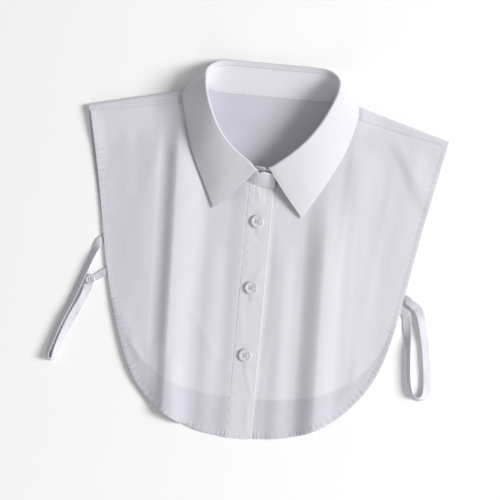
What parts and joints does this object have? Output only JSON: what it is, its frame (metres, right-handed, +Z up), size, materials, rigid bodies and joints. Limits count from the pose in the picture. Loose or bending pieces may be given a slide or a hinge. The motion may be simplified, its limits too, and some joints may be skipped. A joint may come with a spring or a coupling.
{
  "type": "detachable shirt collar",
  "caption": "Pointed shirt collar on a short buttoned front and back bib with looped side straps, laid flat face up.",
  "frame": {"origin": "on the underside of the back panel, on the garment's centre line, 188 mm up from the front hem", "axes": "+Z up from the surface it lies on, +Y from the hem to the collar, +X to the wearer's left"},
  "size_m": [0.386, 0.3757, 0.0356],
  "materials": {
    "cloth": "white cotton poplin",
    "button": "pearly"
  },
  "bodies": {
    "root": {"back_panel": "cloth", "right_front": "cloth", "left_front": "cloth", "front_band": "cloth", "collar_stand": "cloth", "collar_leaf": "cloth", "right_strap": "cloth", "left_strap": "cloth", "right_tab": "cloth", "left_tab": "cloth", "button_top": "button", "button_middle": "button", "button_bottom": "button", "strap_button_right": "button", "strap_button_left": "button"}
  },
  "joints": []
}
